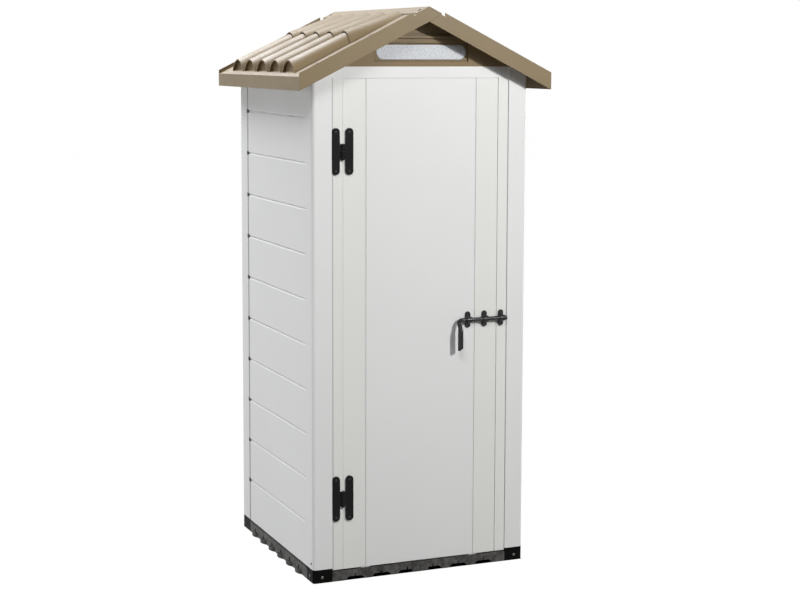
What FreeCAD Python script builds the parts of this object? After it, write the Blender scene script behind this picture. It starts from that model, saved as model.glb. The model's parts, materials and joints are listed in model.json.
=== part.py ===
"""Small plastic garden storage cabinet: floor tiles, panel walls, one hinged door, tiled gable roof.

Millimetres. X is to the right seen from the front, Y to the rear, Z up.
The origin is on the ground under the middle of the roof.
"""
import math
import os

import FreeCAD, Part

os.makedirs("parts", exist_ok=True)

Vector = FreeCAD.Vector
X_AXIS = Vector(1, 0, 0)
Y_AXIS = Vector(0, 1, 0)
Z_AXIS = Vector(0, 0, 1)

# Walls
BODY_WIDTH = 815.0
BODY_DEPTH = 815.0
WALL_THICKNESS = 25.0
WALL_BOTTOM = 48.0
WALL_CORNER_RADIUS = 12.0
CORNER_STRIP_WIDTH = 71.0
REAR_FLANGE_WIDTH = 92.0
REAR_JOINT_GAP = 2.5
TONGUE_DEPTH = 10.0
TONGUE_THICKNESS = 8.0

# Grooves pressed into the walls
GROOVE_PITCH = 158.4
GROOVE_COUNT = 10
GROOVE_WIDTH = 9.0
GROOVE_DEPTH = 4.0
GROOVE_SETBACK = 63.0
GROOVE_FADE = 22.0

# Front frame and door
FRONT_RECESS = 4.0
JAMB_WIDTH = 39.5
JAMB_BOTTOM = 41.0
DOORWAY_HEIGHT = 1725.5
HEADER_HEIGHT = 39.0
STOP_LIP_WIDTH = 14.0
STOP_LIP_THICKNESS = 4.5
DOOR_THICKNESS = 20.0
DOOR_SIDE_GAP = 2.5
DOOR_TOP_GAP = 2.0
DOOR_BOTTOM = 41.0
DOOR_JOINT_X = 209.0
DOOR_JOINT_CHAMFER = 1.6
STRIP_WIDTH = 30.0
STRIP_THICKNESS = 5.0
STRIP_PLUG_DROP = 3.5
STRIP_TOP_MARGIN = 30.0

# Floor tiles and corner feet
DECK_HEIGHT = 36.0
DECK_THICKNESS = 5.0
SKIRT_THICKNESS = 5.0
RIB_THICKNESS = 4.0
LUG_PITCH = 100.0
LUGS_PER_EDGE = 6
ARCH_WIDTH = 79.0
ARCH_HEIGHT = 12.5
ARCH_CROWN_SHARE = 0.62
ARCH_SLOT_WIDTH = 4.0
ARCH_SLOT_TOP = 22.0
SEAM_LAND = 31.0
LUG_WIDTH = 68.0
LUG_REACH = 11.0
LUG_HEIGHT = 11.0
LUG_HOLE_RADIUS = 6.0
LUG_HOLE_HEIGHT = 21.0
FOOT_FRONT_WIDTH = 71.0
FRONT_FOOT_SIDE_WIDTH = 66.0
REAR_FOOT_SIDE_WIDTH = 92.0
FOOT_WALL = 7.0
FOOT_TENON_WIDTH = 30.0
FOOT_TENON_THICKNESS = 8.0
FOOT_TENON_HEIGHT = 34.0
TENON_SETBACK = 7.0
TENON_SCREW_RISE = 20.0
FOOT_SCREW_HEIGHT = 20.0
FOOT_SCREW_INSET = 33.0
FOOT_SIDE_SCREW_INSET = 38.0

# Roof
ROOF_SIDE_OVERHANG = 66.5
ROOF_END_OVERHANG = 60.0
ROOF_SLOPE = 0.4945
ROOF_SEAT_DROP = 0.5
EAVE_HEIGHT = 47.0
ROOF_SHEET = 4.0
BARGE_HEIGHT = 60.0
RIDGE_CAP_HALF_WIDTH = 46.0
RIDGE_CAP_RISE = 5.0
RIDGE_NOTCH_HALF_WIDTH = 60.0
RIDGE_TONGUE_REACH = 43.0

# Roof tile barrels
BARRELS_PER_ROW = 5
BARREL_PITCH = 145.0
BARREL_WALL = 4.0
BARREL_MOUTH_DEPTH = 40.0
BARREL_STEP_X = 248.0
EAVE_MARGIN = 21.0
RIDGE_BARREL_END_X = 50.0
LOWER_MOUTH_RADIUS = 71.6
LOWER_MOUTH_HEIGHT = 45.0
LOWER_NECK_RADIUS = 68.3
LOWER_NECK_HEIGHT = 38.0
UPPER_MOUTH_RADIUS = 69.6
UPPER_MOUTH_HEIGHT = 46.0
UPPER_NECK_RADIUS = 102.4
UPPER_NECK_HEIGHT = 18.0

# Gables and window
GABLE_THICKNESS = 24.0
POCKET_HALF_WIDTH = 178.0
POCKET_RISE = 17.0
POCKET_HEIGHT = 64.5
POCKET_DEPTH = 5.0
WINDOW_WIDTH = 340.0
WINDOW_HEIGHT = 52.0
WINDOW_THICKNESS = 6.0
WINDOW_BEVEL = 2.0
WINDOW_REBATE = 4.5
WINDOW_LEDGE = 8.0
LEDGE_RISE = 16.0
LEDGE_HEIGHT = 9.0
LEDGE_REACH = 5.0
LEDGE_STEP_RISE = 7.0

# Hinges
HINGE_TOP_SETBACK = 249.0
HINGE_FOOT_SETBACK = 255.5
HINGE_LEG_WIDTH = 28.0
HINGE_LEG_HEIGHT = 161.0
HINGE_LEAF_THICKNESS = 6.0
HINGE_BAR_HEIGHT = 50.0
HINGE_AXIS_PROUD = 7.0
HINGE_KNUCKLE_RADIUS = 6.6
HINGE_LOWER_EXTRA = 5.0
HINGE_UPPER_EXTRA = 1.5
HINGE_PIN_RADIUS = 3.2
HINGE_CAP = 3.5
HINGE_EDGE_SETBACK = 11.0
HINGE_SCREW_INSET = 13.0

# Bolt
BOLT_HEIGHT = 905.0
BOLT_AXIS_PROUD = 13.0
BOLT_RADIUS = 7.5
BOLT_END_REACH = 19.0
STAPLE_PITCH = 65.3
KEEPER_SETBACK = 15.0
STAPLE_WIDTH = 20.0
STAPLE_HEIGHT = 58.0
STAPLE_PLATE = 4.0
STAPLE_WALL = 3.0
STAPLE_SCREW_INSET = 8.0
HANDLE_SETBACK = 172.0
HANDLE_REACH = 26.0
HANDLE_CRANK_DROP = 36.0
HANDLE_BEND_RADIUS = 15.0
HANDLE_LENGTH = 94.0
HANDLE_DEPTH = 25.0
HANDLE_BLADE_RADIUS = 6.0
HANDLE_BLADE_DROP = 9.0
HANDLE_BALL_RADIUS = 8.0

# Screws
PANEL_SCREW_RADIUS = 2.0
PANEL_SCREW_LENGTH = 16.0
PANEL_SCREW_HEAD = 4.2
SCREW_HEAD_DEPTH = 2.2
FOOT_SCREW_RADIUS = 2.5
FOOT_SCREW_HEAD = 5.0
ROOF_SCREW_RADIUS = 2.5
ROOF_SCREW_HEAD = 6.0
ROOF_SCREW_LENGTH = 20.0
ROOF_SCREW_SETBACK = 21.0
ROOF_SCREW_PITCH = 195.5
ROOF_SCREWS_PER_EDGE = 2
ROOF_SCREW_INSET = 13.0
RIDGE_SCREW_X = 25.0
RIDGE_SCREW_INSET = 28.0

# Clearances
SEAT_CLEARANCE = 0.3
SCREW_CLEARANCE = 0.1
PIN_CLEARANCE = 0.06
MOVING_CLEARANCE = 0.4

# How near a point must lie to count as on a line
SAME_PLACE = 0.01

# Places worked out from the sizes
SIDE = BODY_WIDTH / 2
FRONT = -BODY_DEPTH / 2
REAR = BODY_DEPTH / 2
FACE_Y = FRONT + FRONT_RECESS
WALL_INNER_X = SIDE - WALL_THICKNESS
WALL_FRONT_INNER_Y = FRONT + WALL_THICKNESS
STRIP_EDGE_X = SIDE - CORNER_STRIP_WIDTH
JAMB_EDGE_X = STRIP_EDGE_X - JAMB_WIDTH
DOOR_EDGE_X = JAMB_EDGE_X - DOOR_SIDE_GAP
DOOR_BACK_Y = FACE_Y + DOOR_THICKNESS
STOP_Y = DOOR_BACK_Y + SEAT_CLEARANCE
HEADER_BOTTOM = JAMB_BOTTOM + DOORWAY_HEIGHT
HEADER_TOP = HEADER_BOTTOM + HEADER_HEIGHT
DOOR_TOP = HEADER_BOTTOM - DOOR_TOP_GAP
HINGE_CENTRES = {"upper": DOOR_TOP - HINGE_TOP_SETBACK, "lower": DOOR_BOTTOM + HINGE_FOOT_SETBACK}
ROOF_HALF_WIDTH = SIDE + ROOF_SIDE_OVERHANG
ROOF_HALF_DEPTH = REAR + ROOF_END_OVERHANG
ROOF_INNER_DEPTH = ROOF_HALF_DEPTH - ROOF_SHEET
EAVE_TOP = HEADER_TOP - ROOF_SEAT_DROP - ROOF_SIDE_OVERHANG * ROOF_SLOPE
EAVE_BOTTOM = EAVE_TOP - EAVE_HEIGHT
POCKET_BOTTOM = HEADER_TOP + POCKET_RISE
POCKET_TOP = POCKET_BOTTOM + POCKET_HEIGHT
LEDGE_BOTTOM = POCKET_TOP + LEDGE_RISE
LEDGE_STEP_TOP = LEDGE_BOTTOM + LEDGE_HEIGHT + LEDGE_STEP_RISE
REAR_FLANGE_Y = REAR - REAR_FLANGE_WIDTH
HINGE_X = -JAMB_EDGE_X
HINGE_Y = FACE_Y - HINGE_AXIS_PROUD
BOLT_Y = FACE_Y - BOLT_AXIS_PROUD
KEEPER_X = JAMB_EDGE_X + KEEPER_SETBACK
BOLT_END_X = KEEPER_X + BOLT_END_REACH
HANDLE_X = KEEPER_X - HANDLE_SETBACK
HANDLE_BOTTOM = BOLT_HEIGHT - HANDLE_LENGTH
HINGE_LEG_X = JAMB_EDGE_X + HINGE_EDGE_SETBACK + HINGE_LEG_WIDTH / 2
DOOR_LEG_X = JAMB_EDGE_X - HINGE_EDGE_SETBACK - HINGE_LEG_WIDTH / 2
HINGE_HALF_SPACING = HINGE_LEG_HEIGHT / 2 - HINGE_SCREW_INSET
STAPLE_HALF_SPACING = STAPLE_HEIGHT / 2 - STAPLE_SCREW_INSET


def deck_top(x):
    """Height of the roof sheet's upper face."""
    return EAVE_TOP + (ROOF_HALF_WIDTH - abs(x)) * ROOF_SLOPE


def deck_under(x):
    """Height of the roof sheet's lower face."""
    return deck_top(x) - ROOF_SHEET


def lip_top(x):
    """Height of the raised edge along the barge boards."""
    return barge_bottom(x) + BARGE_HEIGHT


def barge_bottom(x):
    """Height of the lower edge of the barge boards."""
    return EAVE_BOTTOM + (ROOF_HALF_WIDTH - abs(x)) * ROOF_SLOPE


def cap_top(x):
    """Height of the ridge cap's upper face."""
    return deck_top(x) + RIDGE_CAP_RISE


def box(x0, x1, y0, y1, z0, z1):
    """Block between two corners."""
    return Part.makeBox(x1 - x0, y1 - y0, z1 - z0, Vector(x0, y0, z0))


def face_of(points):
    """Flat face inside a closed run of points."""
    return Part.Face(Part.makePolygon(points + points[:1]))


def plan_prism(points, z0, z1):
    """Prism with an outline given in X and Y."""
    face = face_of([Vector(x, y, z0) for x, y in points])
    return face.extrude(Z_AXIS * (z1 - z0))


def front_prism(points, y0, y1):
    """Prism with an outline given in X and Z."""
    face = face_of([Vector(x, y0, z) for x, z in points])
    return face.extrude(Y_AXIS * (y1 - y0))


def side_prism(points, x0, x1):
    """Prism with an outline given in Y and Z."""
    face = face_of([Vector(x0, y, z) for y, z in points])
    return face.extrude(X_AXIS * (x1 - x0))


def rod(radius, start, end):
    """Round bar between two points."""
    run = end - start
    return Part.makeCylinder(radius, run.Length, start, run)


def slot_plate(centre_x, centre_z, width, height, y0, y1):
    """Plate with two round ends, long in X or in Z."""
    radius = min(width, height) / 2
    half_x = width / 2 - radius
    half_z = height / 2 - radius
    ends = []
    for sign in (-1, 1):
        start = Vector(centre_x + sign * half_x, y0, centre_z + sign * half_z)
        ends.append(rod(radius, start, start + Y_AXIS * (y1 - y0)))
    if width > height:
        middle = box(centre_x - half_x, centre_x + half_x, y0, y1, centre_z - radius, centre_z + radius)
    else:
        middle = box(centre_x - radius, centre_x + radius, y0, y1, centre_z - half_z, centre_z + half_z)
    return ends[0].fuse([ends[1], middle]).removeSplitter()


def fuse_all(shapes):
    """One solid from shapes that touch."""
    shapes = list(shapes)
    if len(shapes) == 1:
        return shapes[0]
    return shapes[0].fuse(shapes[1:]).removeSplitter()


def mirror_x(shape):
    """The same shape on the other side of the middle plane."""
    return shape.mirror(Vector(0, 0, 0), X_AXIS)


def mirror_y(shape):
    """The same shape at the other end of the cabinet."""
    return shape.mirror(Vector(0, 0, 0), Y_AXIS)


def vertical_edges_at(shape, x, y):
    """Upright edges that stand at one place in plan."""
    found = []
    for edge in shape.Edges:
        ends = [vertex.Point for vertex in edge.Vertexes]
        here = all(abs(p.x - x) < SAME_PLACE and abs(p.y - y) < SAME_PLACE for p in ends)
        if here and len(ends) == 2:
            found.append(edge)
    return found


def save(name, shape):
    """Write one node."""
    shape.exportStep("parts/" + name + ".step")


def screw(tip_direction, head_point, radius, head_radius, length, countersunk):
    """Screw whose head's outer face is at head_point, turned from one profile."""
    neck = radius if countersunk else head_radius
    profile = [
        Vector(0, 0, 0),
        Vector(head_radius, 0, 0),
        Vector(neck, 0, SCREW_HEAD_DEPTH),
        Vector(radius, 0, SCREW_HEAD_DEPTH),
        Vector(radius, 0, length),
        Vector(0, 0, length),
    ]
    if countersunk:
        profile.pop(2)
    turned_screw = face_of(profile).revolve(Vector(0, 0, 0), Z_AXIS, 360)
    turned_screw.Placement = FreeCAD.Placement(head_point, FreeCAD.Rotation(Z_AXIS, tip_direction))
    return turned_screw


def screw_hole(tip_direction, head_point, radius, head_radius, length, countersunk):
    """Space that a screw needs, with its clearance."""
    spare = SCREW_CLEARANCE
    return screw(tip_direction, head_point, radius + spare, head_radius + spare, length + spare, countersunk)


def panel_screw_points(centre_x, centre_z, half_spacing):
    """Places of the two screws of a hinge leg or a staple, on the door's face."""
    return [(centre_x, centre_z - half_spacing), (centre_x, centre_z + half_spacing)]


def panel_screws(spots, proud, maker):
    """Screws, or their holes, driven straight back from plates that stand proud of the face."""
    made = []
    for x, z in spots:
        head = Vector(x, FACE_Y - proud, z)
        made.append(maker(Y_AXIS, head, PANEL_SCREW_RADIUS, PANEL_SCREW_HEAD, PANEL_SCREW_LENGTH, True))
    return made


def hinge_spots(leg_x):
    """Screw places on one side of both hinges."""
    spots = []
    for height in HINGE_CENTRES.values():
        spots += panel_screw_points(-leg_x, height, HINGE_HALF_SPACING)
    return spots


def staple_x(number):
    """Middle of a staple, counted from the keeper on the jamb."""
    return KEEPER_X - number * STAPLE_PITCH


def staple_spots(numbers):
    """Screw places of the chosen staples."""
    spots = []
    for number in numbers:
        spots += panel_screw_points(staple_x(number), BOLT_HEIGHT, STAPLE_HALF_SPACING)
    return spots


def groove_heights():
    """Heights of the pressed grooves."""
    return [WALL_BOTTOM + GROOVE_PITCH * number for number in range(1, GROOVE_COUNT + 1)]


def groove(face_point, inward, along, run, fades):
    """V groove from a point on a wall's face: straight for its run, fading out past the chosen ends."""
    half = Z_AXIS * (GROOVE_WIDTH / 2)
    start = [face_point - half, face_point + inward * GROOVE_DEPTH, face_point + half]
    end = [point + along * run for point in start]
    faces = [face_of([start[i], start[i - 1], end[i - 1], end[i]]) for i in range(len(start))]
    tips = (face_point - along * GROOVE_FADE, face_point + along * (run + GROOVE_FADE))
    for section, tip, fade in ((start, tips[0], fades[0]), (end, tips[1], fades[1])):
        if fade:
            faces += [face_of([section[i], section[i - 1], tip]) for i in range(len(section))]
        else:
            faces.append(face_of(section))
    return Part.Solid(Part.Shell(faces))


def wall_top_cut():
    """Everything above the underside of the roof sheet, as the walls meet it."""
    high = deck_top(0) + BARGE_HEIGHT
    low_z = deck_under(ROOF_HALF_WIDTH) - SEAT_CLEARANCE
    peak_z = deck_under(0) - SEAT_CLEARANCE
    outline = [
        (-ROOF_HALF_WIDTH, low_z),
        (0, peak_z),
        (ROOF_HALF_WIDTH, low_z),
        (ROOF_HALF_WIDTH, high),
        (-ROOF_HALF_WIDTH, high),
    ]
    return front_prism(outline, -ROOF_HALF_DEPTH, ROOF_HALF_DEPTH)


def roof_screw_heads():
    """Head place and direction of each screw through the roof."""
    normal = Vector(ROOF_SLOPE, 0, 1).normalize()
    heads = []
    for end in (-1, 1):
        y = end * (REAR - ROOF_SCREW_INSET)
        for number in range(ROOF_SCREWS_PER_EDGE):
            x = SIDE - ROOF_SCREW_SETBACK - number * ROOF_SCREW_PITCH
            for side in (-1, 1):
                outward = Vector(side * normal.x, 0, normal.z)
                seat = Vector(side * x, y, deck_top(x))
                heads.append((seat + outward * SCREW_HEAD_DEPTH, outward * -1, ROOF_SCREW_LENGTH))
        left = Vector(-normal.x, 0, normal.z)
        ridge_y = end * (ROOF_HALF_DEPTH - RIDGE_SCREW_INSET)
        ridge_seat = Vector(-RIDGE_SCREW_X, ridge_y, cap_top(RIDGE_SCREW_X))
        heads.append((ridge_seat + left * SCREW_HEAD_DEPTH, left * -1, RIDGE_CAP_RISE + ROOF_SHEET))
    return heads


def roof_screw_shapes(maker):
    """The roof's screws, or their holes."""
    shapes = []
    for head, direction, length in roof_screw_heads():
        shapes.append(maker(direction, head, ROOF_SCREW_RADIUS, ROOF_SCREW_HEAD, length, False))
    return shapes


def side_wall():
    """Left wall: one panel folded round the front corner, with grooves along its side."""
    rear = REAR_FLANGE_Y - REAR_JOINT_GAP
    outline = [
        (-SIDE, FRONT),
        (-STRIP_EDGE_X, FRONT),
        (-STRIP_EDGE_X, WALL_FRONT_INNER_Y),
        (-WALL_INNER_X, WALL_FRONT_INNER_Y),
        (-WALL_INNER_X, rear),
        (-SIDE, rear),
    ]
    wall = plan_prism(outline, WALL_BOTTOM, deck_top(WALL_INNER_X))
    wall = wall.makeFillet(WALL_CORNER_RADIUS, vertical_edges_at(wall, -SIDE, FRONT))
    tongue_x = -SIDE + WALL_THICKNESS / 2
    half = TONGUE_THICKNESS / 2
    tongue_end = rear + REAR_JOINT_GAP + TONGUE_DEPTH
    wall = wall.fuse(box(tongue_x - half, tongue_x + half, rear, tongue_end, WALL_BOTTOM, deck_under(SIDE)))
    gable_back = FACE_Y + GABLE_THICKNESS + SEAT_CLEARANCE
    cuts = [wall_top_cut(), foot_tenon(-1, SEAT_CLEARANCE), tenon_screw(-1, screw_hole)]
    cuts.append(box(-SIDE, -STRIP_EDGE_X, FRONT, gable_back, HEADER_TOP, deck_top(0)))
    start = FRONT + GROOVE_SETBACK + GROOVE_FADE
    for height in groove_heights():
        cuts.append(groove(Vector(-SIDE, start, height), X_AXIS, Y_AXIS, rear - start, (True, False)))
    cuts += roof_screw_shapes(screw_hole)
    return wall.cut(cuts)


def rear_wall():
    """Back wall: one panel folded round both rear corners, slotted for the side walls' tongues."""
    inner_y = REAR - WALL_THICKNESS
    outline = [
        (-SIDE, REAR_FLANGE_Y),
        (-WALL_INNER_X, REAR_FLANGE_Y),
        (-WALL_INNER_X, inner_y),
        (WALL_INNER_X, inner_y),
        (WALL_INNER_X, REAR_FLANGE_Y),
        (SIDE, REAR_FLANGE_Y),
        (SIDE, REAR),
        (-SIDE, REAR),
    ]
    wall = plan_prism(outline, WALL_BOTTOM, HEADER_TOP)
    corners = vertical_edges_at(wall, -SIDE, REAR) + vertical_edges_at(wall, SIDE, REAR)
    wall = wall.makeFillet(WALL_CORNER_RADIUS, corners)
    half = TONGUE_THICKNESS / 2 + SEAT_CLEARANCE
    slot_x = SIDE - WALL_THICKNESS / 2
    slot_end = REAR_FLANGE_Y + TONGUE_DEPTH + SEAT_CLEARANCE
    slot = box(slot_x - half, slot_x + half, REAR_FLANGE_Y, slot_end, WALL_BOTTOM, HEADER_TOP)
    cuts = [wall_top_cut()] + both_sides([slot, foot_tenon(1, SEAT_CLEARANCE), tenon_screw(1, screw_hole)])
    edge = SIDE - GROOVE_SETBACK - GROOVE_FADE
    for height in groove_heights():
        cuts.append(groove(Vector(-edge, REAR, height), Y_AXIS * -1, X_AXIS, 2 * edge, (True, True)))
    cuts += roof_screw_shapes(screw_hole)
    return wall.cut(cuts)


def door_jamb(side):
    """Upright of the door frame, with the lip that the door closes against."""
    lip_x = DOOR_EDGE_X - STOP_LIP_WIDTH
    outline = [
        (JAMB_EDGE_X, FACE_Y),
        (STRIP_EDGE_X, FACE_Y),
        (STRIP_EDGE_X, STOP_Y + STOP_LIP_THICKNESS),
        (lip_x, STOP_Y + STOP_LIP_THICKNESS),
        (lip_x, STOP_Y),
        (JAMB_EDGE_X, STOP_Y),
    ]
    jamb = plan_prism([(side * x, y) for x, y in outline], JAMB_BOTTOM, HEADER_BOTTOM)
    spots = hinge_spots(HINGE_LEG_X) if side < 0 else staple_spots([0])
    proud = HINGE_LEAF_THICKNESS if side < 0 else STAPLE_PLATE
    return jamb.cut(panel_screws(spots, proud, screw_hole))


def door_header():
    """Rail over the door, with its stop lip."""
    outline = [
        (FACE_Y, HEADER_BOTTOM),
        (STOP_Y, HEADER_BOTTOM),
        (STOP_Y, DOOR_TOP - STOP_LIP_WIDTH),
        (STOP_Y + STOP_LIP_THICKNESS, DOOR_TOP - STOP_LIP_WIDTH),
        (STOP_Y + STOP_LIP_THICKNESS, HEADER_TOP),
        (FACE_Y, HEADER_TOP),
    ]
    rail = side_prism(outline, -STRIP_EDGE_X, STRIP_EDGE_X)
    lip_end = DOOR_EDGE_X - STOP_LIP_WIDTH
    lip_bottom = DOOR_TOP - STOP_LIP_WIDTH
    trims = []
    for side in (-1, 1):
        x0, x1 = sorted((side * lip_end, side * STRIP_EDGE_X))
        trims.append(box(x0, x1, STOP_Y, STOP_Y + STOP_LIP_THICKNESS, lip_bottom, HEADER_BOTTOM))
    return rail.cut(trims)


def gable_blank(y0, y1):
    """Triangle between the header and the roof sheet."""
    half = ROOF_HALF_WIDTH - (HEADER_TOP - deck_under(ROOF_HALF_WIDTH) + SEAT_CLEARANCE) / ROOF_SLOPE
    peak = deck_under(0) - SEAT_CLEARANCE
    return front_prism([(-half, HEADER_TOP), (half, HEADER_TOP), (0, peak)], y0, y1)


def gable_rear():
    """Plain rear gable board with its moulded ledge."""
    board = gable_blank(REAR - FRONT_RECESS - GABLE_THICKNESS, REAR - FRONT_RECESS)
    ledge = gable_blank(REAR - FRONT_RECESS, REAR - FRONT_RECESS + LEDGE_REACH)
    ledge = ledge.common(ledge_band(REAR - FRONT_RECESS, REAR - FRONT_RECESS + LEDGE_REACH))
    return board.fuse(ledge).cut(roof_screw_shapes(screw_hole))


def ledge_band(y0, y1):
    """Space of the ledge across a gable."""
    return box(-SIDE, SIDE, y0, y1, LEDGE_BOTTOM, LEDGE_BOTTOM + LEDGE_HEIGHT)


def gable_front():
    """Front gable board with a pocket, an oval opening and a ledge above."""
    board = gable_blank(FACE_Y, FACE_Y + GABLE_THICKNESS)
    ledge = gable_blank(FACE_Y - LEDGE_REACH, FACE_Y).common(ledge_band(FACE_Y - LEDGE_REACH, FACE_Y))
    board = board.fuse(ledge)
    floor_y = FACE_Y + POCKET_DEPTH
    pocket = box(-POCKET_HALF_WIDTH, POCKET_HALF_WIDTH, FACE_Y, floor_y, POCKET_BOTTOM, POCKET_TOP)
    centre_z = (POCKET_BOTTOM + POCKET_TOP) / 2
    spare = 2 * SEAT_CLEARANCE
    rebate_y = floor_y + WINDOW_REBATE
    rebate = slot_plate(0, centre_z, WINDOW_WIDTH + spare, WINDOW_HEIGHT + spare, floor_y, rebate_y)
    hole_width = WINDOW_WIDTH - 2 * WINDOW_LEDGE
    hole_height = WINDOW_HEIGHT - 2 * WINDOW_LEDGE
    hole = slot_plate(0, centre_z, hole_width, hole_height, floor_y, FACE_Y + GABLE_THICKNESS)
    crown = gable_blank(FACE_Y, FACE_Y + POCKET_DEPTH / 2)
    above = box(-SIDE, SIDE, FACE_Y, FACE_Y + POCKET_DEPTH / 2, LEDGE_STEP_TOP, deck_top(0))
    return board.cut([pocket, rebate, hole, crown.common(above)] + roof_screw_shapes(screw_hole))


def gable_window():
    """Oval frosted pane with a bevelled rim, seated in the gable's rebate."""
    back_y = FACE_Y + POCKET_DEPTH + WINDOW_REBATE
    centre_z = (POCKET_BOTTOM + POCKET_TOP) / 2
    pane = slot_plate(0, centre_z, WINDOW_WIDTH, WINDOW_HEIGHT, back_y - WINDOW_THICKNESS, back_y)
    front_y = back_y - WINDOW_THICKNESS + SAME_PLACE
    front_edges = [edge for edge in pane.Edges if edge.BoundBox.YMax < front_y]
    return pane.makeChamfer(WINDOW_BEVEL, front_edges)


def barrel_cone(row, y, shrink):
    """Cone that a barrel is cut from: its crown line passes over both ends at their heights."""
    x0, radius0, height0, x1, radius1, height1 = row
    crown0 = Vector(x0, y, deck_top(x0) + height0)
    crown1 = Vector(x1, y, deck_top(x1) + height1)
    run = crown1 - crown0
    sink = math.asin((radius1 - radius0) / run.Length)
    length = run.Length * math.cos(sink)
    axis = FreeCAD.Rotation(Y_AXIS, math.degrees(sink)).multVec(run).normalize()
    up = FreeCAD.Rotation(Y_AXIS, -90).multVec(axis)
    spare = height0
    widening = spare * (radius1 - radius0) / length
    start = crown0 - up * radius0 - axis * spare
    small = radius0 - widening - shrink
    large = radius1 + widening - shrink
    return Part.makeCone(small, large, length + 2 * spare, start, axis)


def barrel_slice(row, y, x0, x1, shrink, leg):
    """Length of a barrel between two upright planes, from a little under the roof sheet's top."""
    high = deck_top(0) + BARGE_HEIGHT
    outline = [(x0, deck_top(x0) - leg), (x1, deck_top(x1) - leg), (x1, high), (x0, high)]
    half = BARREL_PITCH
    return barrel_cone(row, y, shrink).common(front_prism(outline, y - half, y + half))


def barrel_rows():
    """Ends of the two rows: from the eave to the step, and from the step to the ridge."""
    eave_x = -ROOF_HALF_WIDTH + EAVE_MARGIN
    step_x = -BARREL_STEP_X
    ridge_x = -RIDGE_BARREL_END_X
    return [
        (eave_x, LOWER_MOUTH_RADIUS, LOWER_MOUTH_HEIGHT, step_x, LOWER_NECK_RADIUS, LOWER_NECK_HEIGHT),
        (step_x, UPPER_MOUTH_RADIUS, UPPER_MOUTH_HEIGHT, ridge_x, UPPER_NECK_RADIUS, UPPER_NECK_HEIGHT),
    ]


def barrel_places():
    """Middles of the barrels along the roof."""
    first = -(BARRELS_PER_ROW - 1) / 2
    return [(first + number) * BARREL_PITCH for number in range(BARRELS_PER_ROW)]


def barrel_shapes():
    """Outer barrels, and the hollows to take out of them, for the left slope."""
    outer = []
    hollow = []
    for row in barrel_rows():
        x0 = row[0]
        x1 = row[3]
        mouth_end = x0 + BARREL_MOUTH_DEPTH
        inner_x0 = mouth_end + BARREL_WALL
        inner_x1 = x1 - BARREL_WALL
        for y in barrel_places():
            outer.append(barrel_slice(row, y, x0, x1, 0, ROOF_SHEET / 2))
            hollow.append(barrel_slice(row, y, x0, mouth_end, BARREL_WALL, 0))
            hollow.append(barrel_slice(row, y, inner_x0, inner_x1, BARREL_WALL, 2 * ROOF_SHEET))
    return outer, hollow


def barge_outline():
    """Barge board of the left slope, seen from the front, up to the notch beside the ridge cap."""
    return [
        (-ROOF_HALF_WIDTH, EAVE_BOTTOM),
        (0, barge_bottom(0)),
        (0, deck_top(0)),
        (-RIDGE_NOTCH_HALF_WIDTH, deck_top(RIDGE_NOTCH_HALF_WIDTH)),
        (-RIDGE_NOTCH_HALF_WIDTH, lip_top(RIDGE_NOTCH_HALF_WIDTH)),
        (-ROOF_HALF_WIDTH, lip_top(ROOF_HALF_WIDTH)),
    ]


def roof_slope():
    """Left slope without its ridge: sheet, eave board, both barge boards and barrels."""
    eave = ROOF_HALF_WIDTH
    sheet = [(-eave, deck_under(eave)), (-eave, deck_top(eave)), (0, deck_top(0)), (0, deck_under(0))]
    pieces = [front_prism(sheet, -ROOF_HALF_DEPTH, ROOF_HALF_DEPTH)]
    pieces.append(box(-eave, -eave + ROOF_SHEET, -ROOF_HALF_DEPTH, ROOF_HALF_DEPTH, EAVE_BOTTOM, EAVE_TOP))
    barge = front_prism(barge_outline(), -ROOF_HALF_DEPTH, -ROOF_INNER_DEPTH)
    pieces += [barge, mirror_y(barge)]
    outer, hollow = barrel_shapes()
    return fuse_all(pieces + outer).cut(hollow)


def ridge_tongue(spare):
    """End plate of the left slope that laps over the right barge board, seen from the front."""
    reach = RIDGE_TONGUE_REACH
    outline = [
        (0, barge_bottom(0) - spare),
        (reach + spare, deck_top(reach) - spare),
        (reach + spare, deck_top(reach + spare)),
        (0, deck_top(0)),
    ]
    return front_prism(outline, -ROOF_HALF_DEPTH, -ROOF_INNER_DEPTH)


def ridge_cap():
    """Raised cap over the ridge, part of the left slope."""
    half = RIDGE_CAP_HALF_WIDTH
    gap = SEAT_CLEARANCE
    outline = [
        (-half, deck_top(half)),
        (0, deck_top(0)),
        (0, deck_top(0) + gap),
        (half, deck_top(half) + gap),
        (half, cap_top(half)),
        (0, cap_top(0)),
        (-half, cap_top(half)),
    ]
    return front_prism(outline, -ROOF_HALF_DEPTH, ROOF_HALF_DEPTH)


def roof_left():
    """Left slope, whose ridge cap and end plates lap over the right slope."""
    tongue = ridge_tongue(0)
    cap = fuse_all([ridge_cap(), tongue, mirror_y(tongue)])
    return roof_slope().fuse(cap).removeSplitter().cut(roof_screw_shapes(screw_hole))


def roof_right():
    """Right slope, notched at its upper end for the left slope's end plates."""
    notch = ridge_tongue(SEAT_CLEARANCE)
    slope = mirror_x(roof_slope()).cut([notch, mirror_y(notch)])
    return slope.cut(roof_screw_shapes(screw_hole))


def edge_places():
    """Middles of the arches and lugs along a full tile edge."""
    first = -(LUGS_PER_EDGE - 1) / 2
    return [(first + number) * LUG_PITCH for number in range(LUGS_PER_EDGE)]


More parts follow.
